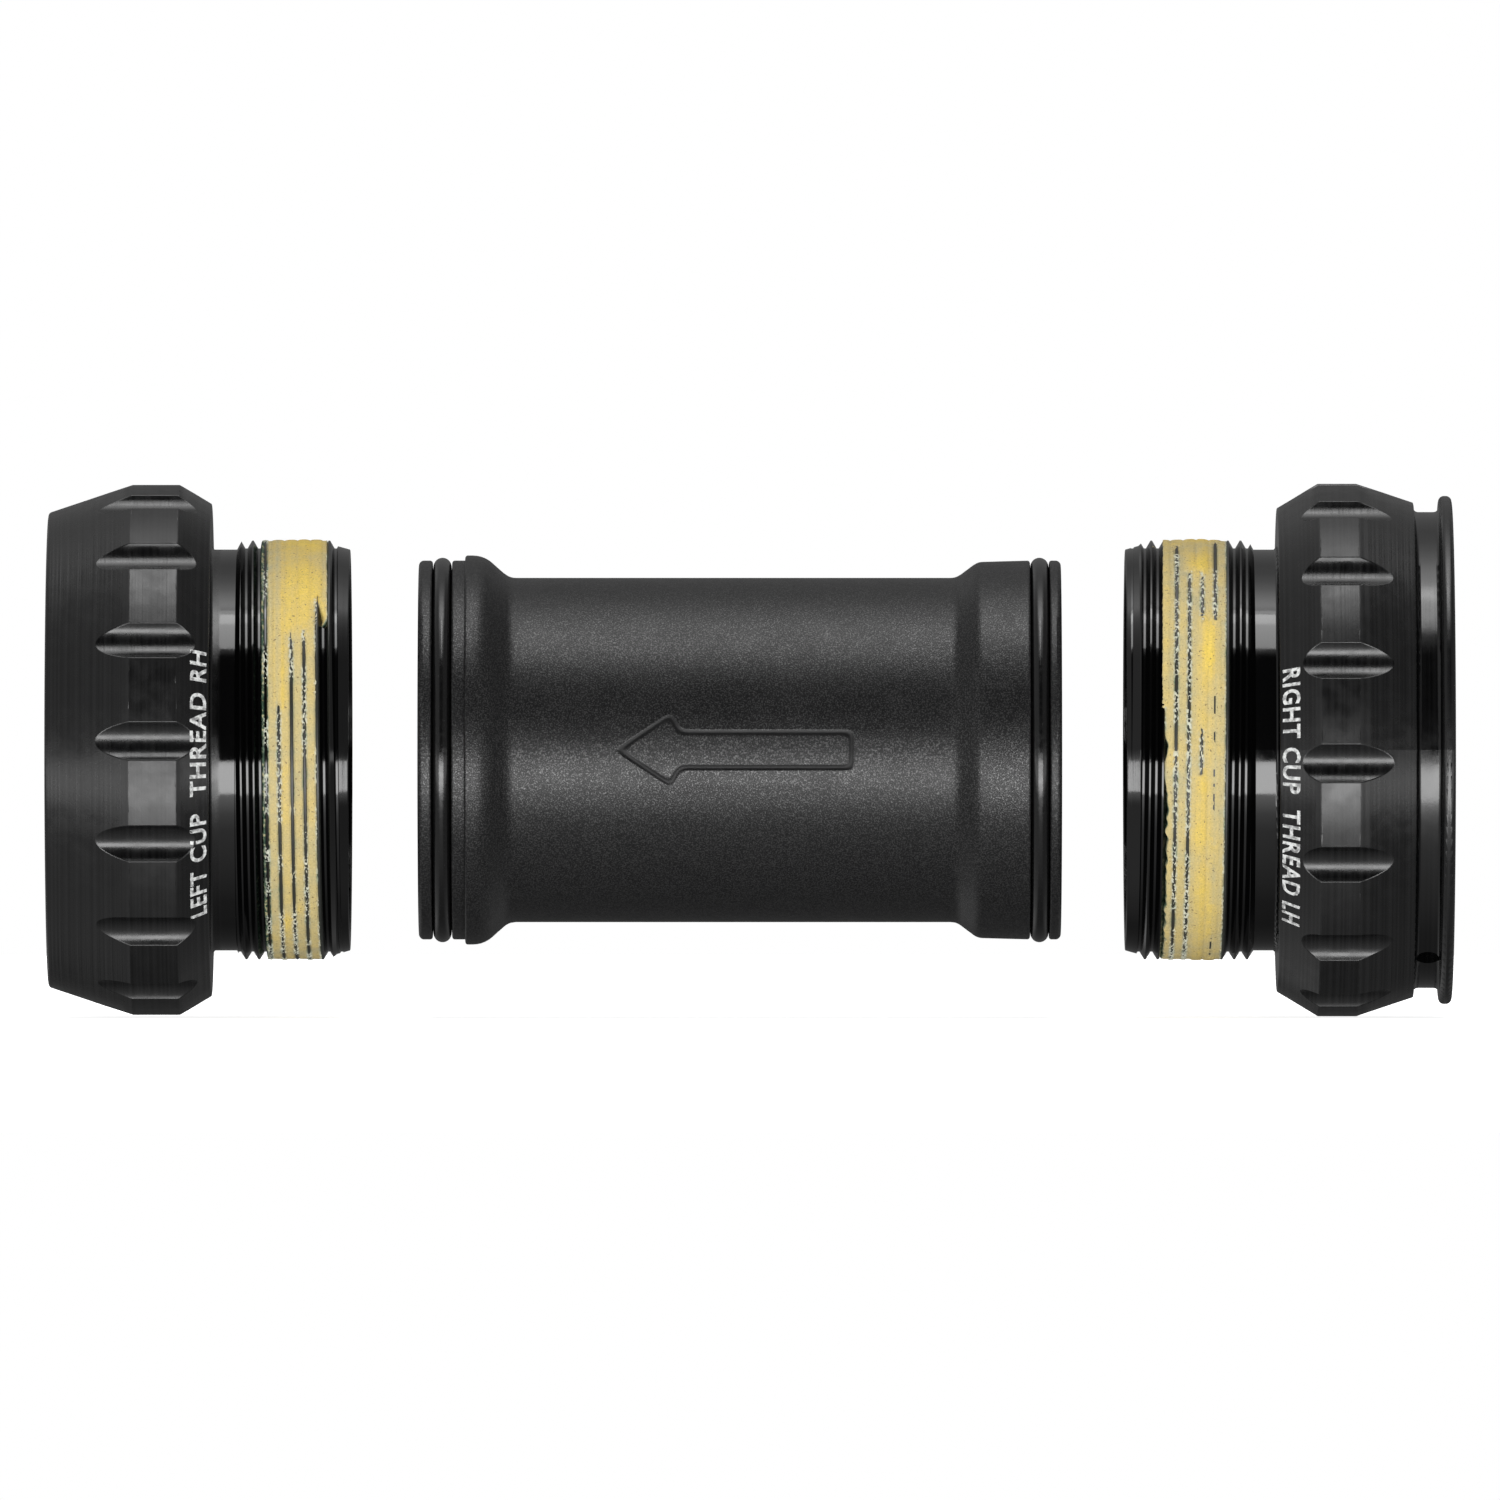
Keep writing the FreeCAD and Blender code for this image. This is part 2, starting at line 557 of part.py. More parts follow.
def arrow_outline(grow):
    """The arrow's outline, moved outwards by grow, as a wire in the XY plane."""
    tip = SLEEVE_X + ARROW_TIP
    barb = tip + ARROW_HEAD_LENGTH
    notch = barb + ARROW_BARB_RAKE
    tail = tip + ARROW_LENGTH
    half = [
        (tip, 0, ARROW_CORNER_R),
        (barb, ARROW_HALF_HEAD, ARROW_CORNER_R),
        (notch, ARROW_HALF_SHAFT, ARROW_CORNER_R),
        (tail, ARROW_HALF_SHAFT, ARROW_CORNER_R),
    ]
    points = half + [(x, -y, r) for x, y, r in reversed(half[1:])]
    wire = outline(points)
    return wire.makeOffset2D(grow) if grow else wire


def arrow_score():
    """The shallow groove that draws the arrow on the front of the tube."""
    outer = Part.Face(arrow_outline(ARROW_LINE_WIDTH / 2))
    inner = Part.Face(arrow_outline(-ARROW_LINE_WIDTH / 2))
    line = outer.cut(inner)
    line.rotate(ORIGIN, X_AXIS, 90)
    line.translate(Vector(0, -TUBE_R - 1, 0))
    block = line.extrude(Vector(0, TUBE_R, 0))
    skin = turned([
        (SLEEVE_X + ARROW_TIP - 2, TUBE_R - ARROW_LINE_DEPTH),
        (SLEEVE_X + ARROW_TIP - 2, TUBE_R + 1),
        (SLEEVE_X + ARROW_TIP + ARROW_LENGTH + 2, TUBE_R + 1),
        (SLEEVE_X + ARROW_TIP + ARROW_LENGTH + 2, TUBE_R - ARROW_LINE_DEPTH),
    ])
    return block.common(skin)


def make_sleeve():
    """The moulded tube that keeps water and grit out of the bearings from inside the frame."""
    end = SLEEVE_LENGTH
    floor_r = O_RING_OUTER_R - 2 * O_RING_SECTION_R - O_RING_CLEARANCE
    left_groove_end = LEFT_FLANGE_WIDTH + LEFT_GROOVE_WIDTH
    right_groove_end = end - RIGHT_FLANGE_WIDTH
    right_groove_start = right_groove_end - RIGHT_GROOVE_WIDTH
    edge = SLEEVE_EDGE_FILLET
    points = [
        (0, SLEEVE_BORE_R + SLEEVE_MOUTH_CHAMFER),
        (0, LAND_R, edge * 2),
        (LEFT_FLANGE_WIDTH, LAND_R, edge),
        (LEFT_FLANGE_WIDTH, floor_r, edge),
        (left_groove_end, floor_r, edge),
        (left_groove_end, LAND_R, edge),
        (STOP_DISTANCE, LAND_R),
        (STOP_DISTANCE, BELL_R, edge),
        (LEFT_BELL_END, BELL_R, 2.4),
        (LEFT_NECK_START, TUBE_R, 1.5),
        (end - RIGHT_NECK_END, TUBE_R, 1.4),
        (end - RIGHT_BELL_START, RIGHT_BELL_R, 1.4),
        (right_groove_start, LAND_R, edge),
        (right_groove_start, floor_r, edge),
        (right_groove_end, floor_r, edge),
        (right_groove_end, LAND_R, edge),
        (end, LAND_R, edge * 2),
        (end, SLEEVE_BORE_R + SLEEVE_MOUTH_CHAMFER),
        (end - SLEEVE_MOUTH_CHAMFER, SLEEVE_BORE_R),
        (SLEEVE_MOUTH_CHAMFER, SLEEVE_BORE_R),
    ]
    sleeve = turned(points)
    sleeve.translate(Vector(SLEEVE_X, 0, 0))
    return sleeve.cut(arrow_score())


def bearing_parts(side, depth, place):
    """The pieces of one cartridge bearing, with its outboard face at a depth in the cup."""
    return {
        f"{side}_bearing_outer_race": place(make_outer_race(depth)),
        f"{side}_bearing_inner_race": place(make_inner_race(depth)),
        f"{side}_bearing_balls": place(make_balls(depth)),
        f"{side}_bearing_cage": place(make_cage(depth)),
        f"{side}_bearing_outboard_seal": place(make_bearing_seal(depth, True)),
        f"{side}_bearing_inboard_seal": place(make_bearing_seal(depth + BEARING_WIDTH, False)),
    }


def make_parts():
    left_cup = make_left_cup()
    right_cup = make_right_cup()
    left_band = LEFT_SHOULDER_X + LEFT_COMPOUND_START
    right_band = RIGHT_SHOULDER_X - RIGHT_COMPOUND_START - RIGHT_COMPOUND_WIDTH
    parts = {
        "left_cup": left_cup,
        "right_cup": right_cup,
        "centre_sleeve": make_sleeve(),
        "left_sleeve_o_ring": make_o_ring(o_ring_centre_left()),
        "right_sleeve_o_ring": make_o_ring(o_ring_centre_right()),
        "left_thread_compound": make_compound(left_cup, left_band, LEFT_COMPOUND_WIDTH),
        "right_thread_compound": make_compound(right_cup, right_band, RIGHT_COMPOUND_WIDTH),
        "left_wave_washer": place_left(make_wave_washer(LEFT_BEARING_DEPTH + BEARING_WIDTH)),
        "left_dust_seal": place_left(make_dust_seal(LEFT_DUST_SEAL_DEPTH, LEFT_DUST_SEAL_WIDTH)),
        "right_dust_seal": place_right(make_dust_seal(RIGHT_DUST_SEAL_DEPTH, RIGHT_DUST_SEAL_WIDTH)),
    }
    parts.update(bearing_parts("left", LEFT_BEARING_DEPTH, place_left))
    parts.update(bearing_parts("right", RIGHT_BEARING_DEPTH, place_right))
    return parts


def main():
    os.makedirs("parts", exist_ok=True)
    for name, shape in make_parts().items():
        sound = shape.isValid() and all(solid.isClosed() for solid in shape.Solids)
        print(f"{name}: {len(shape.Solids)} solids, {shape.Volume:.1f} mm3, sound {sound}")
        shape.exportStep(f"parts/{name}.step")
    print(f"left cup closes by {LEFT_TRAVEL:.3f}, right cup by {RIGHT_TRAVEL:.3f}")
    print(f"overall length {TOTAL_LENGTH:.3f}")


main()
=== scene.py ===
import json
import math

import bmesh
import bpy
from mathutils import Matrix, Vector, noise


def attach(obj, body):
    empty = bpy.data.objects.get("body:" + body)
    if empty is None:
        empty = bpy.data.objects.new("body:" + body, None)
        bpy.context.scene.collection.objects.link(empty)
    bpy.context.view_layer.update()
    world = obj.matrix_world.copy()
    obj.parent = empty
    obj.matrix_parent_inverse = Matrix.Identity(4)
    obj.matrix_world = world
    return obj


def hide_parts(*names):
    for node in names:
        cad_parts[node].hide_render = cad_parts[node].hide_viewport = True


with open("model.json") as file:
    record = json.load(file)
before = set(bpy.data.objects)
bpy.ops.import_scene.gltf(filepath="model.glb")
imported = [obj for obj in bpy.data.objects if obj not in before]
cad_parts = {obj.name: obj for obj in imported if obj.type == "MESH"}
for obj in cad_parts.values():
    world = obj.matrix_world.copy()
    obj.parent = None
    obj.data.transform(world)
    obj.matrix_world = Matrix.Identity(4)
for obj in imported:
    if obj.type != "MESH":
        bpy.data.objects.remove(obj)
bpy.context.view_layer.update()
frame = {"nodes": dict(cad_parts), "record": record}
nodes = frame["nodes"]

MM = 0.001


# ---------------------------------------------------------------- node helpers

def new_material(name):
    mat = bpy.data.materials.new(name)
    mat.use_nodes = True
    return mat, mat.node_tree, mat.node_tree.nodes["Principled BSDF"]


def set_shader(shader, colour, roughness, metallic=0.0, specular=0.5):
    shader.inputs["Base Color"].default_value = (*colour, 1.0)
    shader.inputs["Roughness"].default_value = roughness
    shader.inputs["Metallic"].default_value = metallic
    shader.inputs["Specular IOR Level"].default_value = specular


def feed(tree, source, target):
    """Links an output to a socket, or sets the socket when the source is a plain value."""
    if isinstance(source, bpy.types.NodeSocket):
        tree.links.new(source, target)
    else:
        target.default_value = source


def object_place(tree):
    return tree.nodes.new("ShaderNodeTexCoord").outputs["Object"]


def split(tree, vector):
    node = tree.nodes.new("ShaderNodeSeparateXYZ")
    feed(tree, vector, node.inputs[0])
    return node.outputs


def math_node(tree, operation, *values):
    node = tree.nodes.new("ShaderNodeMath")
    node.operation = operation
    for value, target in zip(values, node.inputs):
        feed(tree, value, target)
    return node.outputs[0]


def remap(tree, value, from_low, from_high, to_low=0.0, to_high=1.0, smooth=True):
    node = tree.nodes.new("ShaderNodeMapRange")
    node.interpolation_type = "SMOOTHSTEP" if smooth else "LINEAR"
    for source, name in (
        (value, "Value"), (from_low, "From Min"), (from_high, "From Max"),
        (to_low, "To Min"), (to_high, "To Max"),
    ):
        feed(tree, source, node.inputs[name])
    return node.outputs["Result"]


def blend_colours(tree, factor, first, second):
    node = tree.nodes.new("ShaderNodeMix")
    node.data_type = "RGBA"
    feed(tree, factor, node.inputs[0])
    for colour, target in ((first, node.inputs[6]), (second, node.inputs[7])):
        feed(tree, colour if isinstance(colour, bpy.types.NodeSocket) else (*colour, 1.0), target)
    return node.outputs[2]


def noise_3d(tree, place, scale, detail=2.0, roughness=0.5):
    node = tree.nodes.new("ShaderNodeTexNoise")
    feed(tree, place, node.inputs["Vector"])
    node.inputs["Scale"].default_value = scale
    node.inputs["Detail"].default_value = detail
    node.inputs["Roughness"].default_value = roughness
    return node.outputs["Fac"]


def noise_1d(tree, value, scale, detail=2.0):
    node = tree.nodes.new("ShaderNodeTexNoise")
    node.noise_dimensions = "1D"
    feed(tree, value, node.inputs["W"])
    node.inputs["Scale"].default_value = scale
    node.inputs["Detail"].default_value = detail
    return node.outputs["Fac"]


def radius_from_axis(tree, y, z):
    squares = [math_node(tree, "MULTIPLY", value, value) for value in (y, z)]
    return math_node(tree, "SQRT", math_node(tree, "ADD", *squares))


def colour_ramp(tree, factor, stops):
    node = tree.nodes.new("ShaderNodeValToRGB")
    elements = node.color_ramp.elements
    while len(elements) < len(stops):
        elements.new(0.5)
    for element, (position, colour) in zip(elements, stops):
        element.position = position
        element.color = (*colour, 1.0)
    feed(tree, factor, node.inputs[0])
    return node.outputs["Color"]


def bump(tree, height, distance, strength=1.0, under=None):
    node = tree.nodes.new("ShaderNodeBump")
    feed(tree, height, node.inputs["Height"])
    feed(tree, distance, node.inputs["Distance"])
    feed(tree, strength, node.inputs["Strength"])
    if under is not None:
        feed(tree, under, node.inputs["Normal"])
    return node.outputs["Normal"]


# ---------------------------------------------------------------- finishes

RING_FROM_X = (43.7, 44.1)         # where the polished thread ends and the turned ring begins
RING_CREST_R = (21.75, 21.9)
CLIP_GROOVE_X = (54.9, 55.2)
CLIP_GROOVE_R = (20.4, 20.8)
BAND_FROM_X, BAND_TO_X = (34.6, 35.0), (39.5, 39.9)
THREAD_CREST_R = (17.1, 17.25)


def across(tree, value, ends, falling=False):
    """0 to 1 between two sizes in millimetres, or 1 to 0 when it is falling."""
    first, last = (1.0, 0.0) if falling else (0.0, 1.0)
    return remap(tree, value, ends[0] * MM, ends[1] * MM, first, last)


def black_anodised():
    """Gloss black anodising: polished on the thread, with turning lines on the spanner rings."""
    mat, tree, shader = new_material("black_anodised")
    set_shader(shader, (0.002, 0.002, 0.002), 0.1)
    place = object_place(tree)
    x, y, z = split(tree, place)
    outboard = math_node(tree, "ABSOLUTE", x)
    radius = radius_from_axis(tree, y, z)
    crest = across(tree, radius, RING_CREST_R)
    # Inside the clip groove the ring's turned finish is mixed half with the polished one: lower roughness and
    # weaker turning lines, and a darker base colour that is painted shade of the groove floor.
    groove_shade_and_polish = math_node(
        tree, "MULTIPLY", across(tree, x, CLIP_GROOVE_X), across(tree, radius, CLIP_GROOVE_R, True))
    ring = math_node(
        tree, "MULTIPLY", across(tree, outboard, RING_FROM_X),
        remap(tree, groove_shade_and_polish, 0.0, 1.0, 1.0, 0.5, False))
    lines = noise_1d(tree, x, 3300.0, 3.0)
    grain = noise_3d(tree, place, 5200.0, 3.0, 0.6)
    normal = bump(tree, lines, remap(tree, ring, 0.0, 1.0, 0.0000015, 0.000014, False))
    normal = bump(tree, grain, remap(tree, ring, 0.0, 1.0, 0.000001, 0.000005, False), 1.0, normal)
    tree.links.new(normal, shader.inputs["Normal"])
    patches = noise_3d(tree, place, 700.0, 3.0)
    rough_low = remap(tree, ring, 0.0, 1.0, 0.05, 0.20, False)
    rough_high = remap(tree, ring, 0.0, 1.0, 0.10, 0.31, False)
    rough = remap(tree, patches, 0.25, 0.75, rough_low, rough_high)
    rough = math_node(tree, "ADD", rough, math_node(tree, "MULTIPLY", crest, 0.09))
    residue = math_node(
        tree, "MULTIPLY", across(tree, outboard, BAND_FROM_X), across(tree, outboard, BAND_TO_X, True))
    residue = math_node(tree, "MULTIPLY", residue, across(tree, radius, THREAD_CREST_R))
    rough = math_node(tree, "ADD", rough, math_node(tree, "MULTIPLY", residue, 0.34))
    feed(tree, rough, shader.inputs["Roughness"])
    feed_lines = blend_colours(
        tree, remap(tree, lines, 0.35, 0.65), (0.0008, 0.0008, 0.0009), (0.0048, 0.0048, 0.0050))
    metal = blend_colours(tree, ring, (0.0012, 0.0012, 0.0013), feed_lines)
    dusty = math_node(tree, "MULTIPLY", residue, remap(tree, grain, 0.3, 0.7, 0.5, 1.0))
    feed(tree, blend_colours(tree, dusty, metal, (0.024, 0.026, 0.022)), shader.inputs["Base Color"])
    return mat


ARROW_TIP_X, ARROW_BARB_X, ARROW_NOTCH_X, ARROW_TAIL_X = -10.96, -6.56, -5.86, 8.39
ARROW_HALF_HEAD, ARROW_HALF_SHAFT, ARROW_CORNER, ARROW_TIP_ROUND = 2.85, 1.46, 0.95, 0.25
ARROW_FACE_Y = (-13.2, -13.6)      # the sleeve's front face, which alone is scored
SCORE_HALF_WIDTH, SCORE_DEPTH = 0.30, 0.066


def arrow_score(tree, x, y, z):
    """How deep the scored arrow is at a place, from 0 beside the line to 1 along its middle."""
    height = math_node(tree, "SQRT", math_node(
        tree, "ADD", math_node(tree, "MULTIPLY", z, z), (ARROW_TIP_ROUND * MM) ** 2))

    def inside(point_x, point_z, normal_x, normal_z):
        """Distance inwards from the straight line through a point with an outward normal."""
        length = math.hypot(normal_x, normal_z)
        right = math_node(tree, "SUBTRACT", x, point_x * MM)
        above = math_node(tree, "SUBTRACT", height, point_z * MM)
        along = math_node(tree, "MULTIPLY", right, -normal_x / length)
        up = math_node(tree, "MULTIPLY", above, -normal_z / length)
        return math_node(tree, "ADD", along, up)

    corner = ARROW_CORNER * MM
    head_length = ARROW_BARB_X - ARROW_TIP_X
    rake, rise = ARROW_NOTCH_X - ARROW_BARB_X, ARROW_HALF_HEAD - ARROW_HALF_SHAFT
    head = math_node(
        tree, "SMOOTH_MIN", inside(ARROW_BARB_X, ARROW_HALF_HEAD, -ARROW_HALF_HEAD, head_length),
        inside(ARROW_BARB_X, ARROW_HALF_HEAD, rise, rake), corner)
    shaft = math_node(
        tree, "SMOOTH_MIN", inside(ARROW_TAIL_X, 0.0, 1.0, 0.0),
        inside(0.0, ARROW_HALF_SHAFT, 0.0, 1.0), corner)
    shaft = math_node(tree, "MINIMUM", shaft, inside(ARROW_BARB_X, 0.0, -1.0, 0.0))
    edge = math_node(tree, "ABSOLUTE", math_node(tree, "SMOOTH_MAX", head, shaft, corner))
    front = across(tree, y, ARROW_FACE_Y)
    return math_node(tree, "MULTIPLY", front, remap(tree, edge, 0.0, SCORE_HALF_WIDTH * MM, 1.0, 0.0))


def moulded_grey():
    """Glass-filled nylon with the fine sparkle of its moulded grain."""
    mat, tree, shader = new_material("moulded_grey")
    nylon, sparkle = (0.004, 0.004, 0.0043), (0.082, 0.082, 0.082)
    set_shader(shader, nylon, 0.34, 0.0, 0.26)
    place = object_place(tree)
    fine = noise_3d(tree, place, 8500.0, 2.0, 0.7)
    broad = noise_3d(tree, place, 420.0, 3.0, 0.5)
    normal = bump(tree, fine, 0.00002)
    score = arrow_score(tree, *split(tree, place))
    normal = bump(tree, score, -SCORE_DEPTH * MM, 1.0, normal)
    tree.links.new(normal, shader.inputs["Normal"])
    speck = math_node(tree, "MULTIPLY", remap(tree, fine, 0.47, 0.68), remap(tree, score, 0.0, 0.6, 1.0, 0.0))
    feed(tree, blend_colours(tree, speck, nylon, sparkle), shader.inputs["Base Color"])
    feed(tree, speck, shader.inputs["Metallic"])
    rough = remap(tree, broad, 0.3, 0.7, 0.32, 0.38)
    rough = math_node(tree, "ADD", rough, math_node(tree, "MULTIPLY", score, 0.12))
    feed(tree, rough, shader.inputs["Roughness"])
    return mat


def o_ring_rubber():
    mat, tree, shader = new_material("o_ring_rubber")
    set_shader(shader, (0.003, 0.003, 0.0032), 0.18)
    place = object_place(tree)
    skin = noise_3d(tree, place, 2600.0, 3.0)
    tree.links.new(bump(tree, skin, 0.000006), shader.inputs["Normal"])
    dust = remap(tree, noise_3d(tree, place, 9000.0, 2.0), 0.66, 0.74)
    colour = blend_colours(tree, dust, (0.0025, 0.0025, 0.0026), (0.02, 0.02, 0.02))
    feed(tree, colour, shader.inputs["Base Color"])
    feed(tree, remap(tree, skin, 0.3, 0.7, 0.14, 0.24), shader.inputs["Roughness"])
    return mat


COMPOUND_COLOURS = [               # thickness of the film, from bare to thickest, and its colour
    (0.0, (0.006, 0.022, 0.012)),
    (0.08, (0.045, 0.085, 0.055)),
    (0.15, (0.15, 0.20, 0.12)),
    (0.22, (0.36, 0.34, 0.205)),
    (0.38, (0.48, 0.40, 0.195)),
    (0.58, (0.55, 0.43, 0.168)),
    (0.78, (0.62, 0.46, 0.125)),
    (1.0, (0.70, 0.51, 0.095)),
]


def dried_compound():
    """Yellow where it is thick, khaki in the thread, chalky in crumbs, and green at its edges."""
    mat, tree, shader = new_material("dried_compound")
    set_shader(shader, (0.42, 0.33, 0.14), 0.55, 0.0, 0.3)
    place = object_place(tree)
    film = tree.nodes.new("ShaderNodeAttribute")
    film.attribute_name = "film"
    chalk = tree.nodes.new("ShaderNodeAttribute")
    chalk.attribute_name = "chalk"
    cloud = noise_3d(tree, place, 1100.0, 4.0, 0.65)
    unevenness = remap(tree, cloud, 0.2, 0.8, -0.13, 0.13, False)
    mixed = math_node(tree, "ADD", film.outputs["Fac"], unevenness)
    by_thickness = colour_ramp(tree, mixed, COMPOUND_COLOURS)
    grit = remap(tree, noise_3d(tree, place, 7000.0, 2.0), 0.3, 0.7, 0.88, 1.12, False)
    pits = remap(tree, noise_3d(tree, place, 5200.0, 2.0), 0.63, 0.71)
    colour = blend_colours(tree, pits, by_thickness, (0.22, 0.16, 0.07))
    crumbs = math_node(tree, "MULTIPLY", chalk.outputs["Fac"], 0.85)
    colour = blend_colours(tree, crumbs, colour, (0.60, 0.61, 0.50))
    tone = tree.nodes.new("ShaderNodeVectorMath")
    tone.operation = "SCALE"
    feed(tree, colour, tone.inputs[0])
    feed(tree, grit, tone.inputs["Scale"])
    feed(tree, tone.outputs[0], shader.inputs["Base Color"])
    fine = noise_3d(tree, place, 4200.0, 4.0, 0.7)
    tree.links.new(bump(tree, fine, 0.00006), shader.inputs["Normal"])
    feed(tree, remap(tree, cloud, 0.3, 0.7, 0.48, 0.62), shader.inputs["Roughness"])
    return mat


def plain_finish(name, colour, worn, roughness, metallic=0.0, scale=3000.0, depth=0.000003):
    """A finish of two close colours with a fine grain."""
    mat, tree, shader = new_material(name)
    set_shader(shader, colour, roughness, metallic)
    place = object_place(tree)
    fine = noise_3d(tree, place, scale, 3.0)
    broad = noise_3d(tree, place, scale * 0.2, 3.0)
    tree.links.new(bump(tree, fine, depth), shader.inputs["Normal"])
    feed(tree, blend_colours(tree, remap(tree, broad, 0.35, 0.7), colour, worn), shader.inputs["Base Color"])
    feed(tree, remap(tree, fine, 0.3, 0.7, roughness * 0.85, roughness * 1.15), shader.inputs["Roughness"])
    return mat


def turned_steel(name, colour, roughness, scale):
    """Ground or rolled steel with lines that run round the axis."""
    mat, tree, shader = new_material(name)
    set_shader(shader, colour, roughness, 1.0)
    place = object_place(tree)
    x, y, z = split(tree, place)
    radius = radius_from_axis(tree, y, z)
    lines = noise_1d(tree, math_node(tree, "ADD", x, radius), scale, 3.0)
    tree.links.new(bump(tree, lines, 0.000004), shader.inputs["Normal"])
    broad = noise_3d(tree, place, 500.0, 3.0)
    darker = tuple(0.8 * c for c in colour)
    mottled = blend_colours(tree, remap(tree, broad, 0.3, 0.75), colour, darker)
    feed(tree, mottled, shader.inputs["Base Color"])
    feed(tree, remap(tree, lines, 0.3, 0.7, roughness * 0.8, roughness * 1.2), shader.inputs["Roughness"])
    return mat


MATERIALS = {
    "black_anodised": black_anodised(),
    "moulded_grey": moulded_grey(),
    "o_ring_rubber": o_ring_rubber(),
    "dried_compound": dried_compound(),
    "bearing_steel": turned_steel("bearing_steel", (0.56, 0.56, 0.57), 0.22, 5000.0),
    "polished_steel": plain_finish(
        "polished_steel", (0.74, 0.74, 0.75), (0.68, 0.68, 0.69), 0.07, 1.0, 4000.0, 0.0000005),
    "cage_nylon": plain_finish("cage_nylon", (0.42, 0.27, 0.12), (0.36, 0.22, 0.09), 0.45),
    "seal_rubber": plain_finish(
        "seal_rubber", (0.012, 0.012, 0.013), (0.02, 0.02, 0.021), 0.42, 0.0, 2500.0, 0.00001),
    "spring_steel": turned_steel("spring_steel", (0.42, 0.42, 0.43), 0.28, 7000.0),
    "white_mark": plain_finish(
        "white_mark", (0.66, 0.67, 0.66), (0.20, 0.20, 0.20), 0.5, 0.0, 14000.0, 0.000004),
}

for row in frame["record"]["subparts"]:
    mesh = nodes[row["node"]].data
    mesh.materials.clear()
    mesh.materials.append(MATERIALS[row["material_slot"]])


# ---------------------------------------------------------------- dried compound on the threads

PITCH = 25.4 / 24
CREST_R = 17.4
LEFT_CREST_X = -43.1387            # a crest of the left thread in front, in millimetres
RIGHT_CREST_X = 42.5887
BAND_INNER_R = 16.6
BARE_R = CREST_R - 0.15            # the film along a crest that shows
VALLEY_R = CREST_R - 0.035         # the film between two crests
COVER_R = CREST_R + 0.05           # the film where it hides a crest
CRUMB_R = CREST_R + 0.04           # the top of a chalky crumb on a crest
LINE_REACH = 0.36                  # how far a crest's line reaches to each side
LINE_FLAT, LINE_FOOT = 0.10, 0.34  # the line's flat top, and where it runs out
SKIN_WIDTH = 0.14                  # how wide the band's edges slope down to the thread


def smooth(value, low, high):
    t = (value - low) / (high - low)
    if t <= 0.0:
        return 0.0
    if t >= 1.0:
        return 1.0
    return t * t * (3.0 - 2.0 * t)


def patch(value, low, high, soft):
    """1 between low and high, and 0 outside."""
    return smooth(value, low - soft, low + soft) * (1.0 - smooth(value, high - soft, high + soft))


def closing(angle):
    """An angle that follows the thread's lead in front and runs back to 0 behind."""
    return angle * (1.0 - smooth(abs(angle), 135.0, 180.0))


def crest_side(side, angle, turn):
    """Where a crest of the thread lies; side is -1 for the left cup and 1 for the right."""
    if side < 0:
        return LEFT_CREST_X + PITCH * (turn - angle / 360.0)
    return RIGHT_CREST_X - PITCH * (turn - angle / 360.0)


def nearest_turn(side, x, angle):
    offset = (x - LEFT_CREST_X) if side < 0 else (RIGHT_CREST_X - x)
    return round(offset / PITCH + angle / 360.0)


# For each line of crest, the stretches in degrees above the front that the compound hides.
LEFT_HIDDEN = {
    4: [(12.0, 120.0)], 5: [(33.0, 120.0)], 6: [(35.0, 120.0)], 7: [(45.0, 120.0)],
}
RIGHT_HIDDEN = {
    8: [(12.0, 120.0)], 7: [(76.0, 120.0)], 6: [(58.0, 120.0)],
    5: [(57.0, 120.0), (5.0, 39.0), (-120.0, -7.0)],
    4: [(82.0, 120.0), (22.0, 38.0), (-34.0, -25.0), (-62.0, -46.0), (-120.0, -80.0)],
}
# Crest lines that only just show, below an angle, and how far they stay covered.
FAINT_BELOW, FAINT_SHARE, FAINT_LINE = 30.0, 0.5, (1, 4)
TRACE_LINE = (-1, 4)               # the line that leaves a grey trace where it is hidden
# How readily each side's lines break up into crumbs: lower is more.
CRUMBLE_FROM = {-1: -0.14, 1: -0.36}
# The grooves that hold more compound: the side, and the turn of crest at their outboard edge.
RICH_GROOVES = ((-1, 4), (1, 4))
# Thick places: x, angle, half length, half angle, height.
LEFT_LUMPS = [
    (-37.0, 50.0, 1.9, 16.0, 0.10), (-36.8, 78.0, 2.0, 12.0, 0.10), (-35.25, 40.0, 0.5, 7.0, 0.05),
    (-38.5, -12.0, 0.5, 9.0, 0.05), (-38.5, -57.0, 0.55, 8.0, 0.05), (-37.4, -49.0, 0.45, 3.0, 0.05),
    (-36.2, -18.0, 0.4, 4.0, 0.05), (-38.6, 22.0, 0.45, 14.0, 0.03),
]
RIGHT_LUMPS = [
    (37.95, 29.0, 0.55, 8.0, 0.12), (37.3, 62.0, 1.0, 8.0, 0.10), (37.5, -9.0, 0.5, 5.0, 0.04),
    (37.3, -44.0, 1.0, 12.0, 0.05), (36.9, -22.0, 1.2, 9.0, 0.04), (35.1, -3.0, 0.4, 3.0, 0.04),
    (37.0, 88.0, 1.4, 7.0, 0.07),
]


def hidden_share(turn, angle, hidden, wave, back_noise):
    """How far the compound covers one crest line at an angle, from 0 to 1."""
    share = 0.0
    for low, high in hidden.get(turn, ()):
        share = max(share, patch(angle + 4.0 * wave, low, high, 2.5))
    behind = smooth(abs(angle), 98.0, 116.0)
    return share * (1.0 - behind) + smooth(back_noise, -0.15, 0.2) * behind


def tongue_gap(x, angle):
    """1 in the bare slit between the left band and the tip of its tongue."""
    if not 34.0 < angle < 47.0:
        return 0.0
    start = crest_side(-1, angle, 7) + 0.04
    width = 0.62 * (1.0 - smooth(angle, 35.0, 46.0))
    return smooth(x, start, start + 0.08) * (1.0 - smooth(x, start + width, start + width + 0.12))


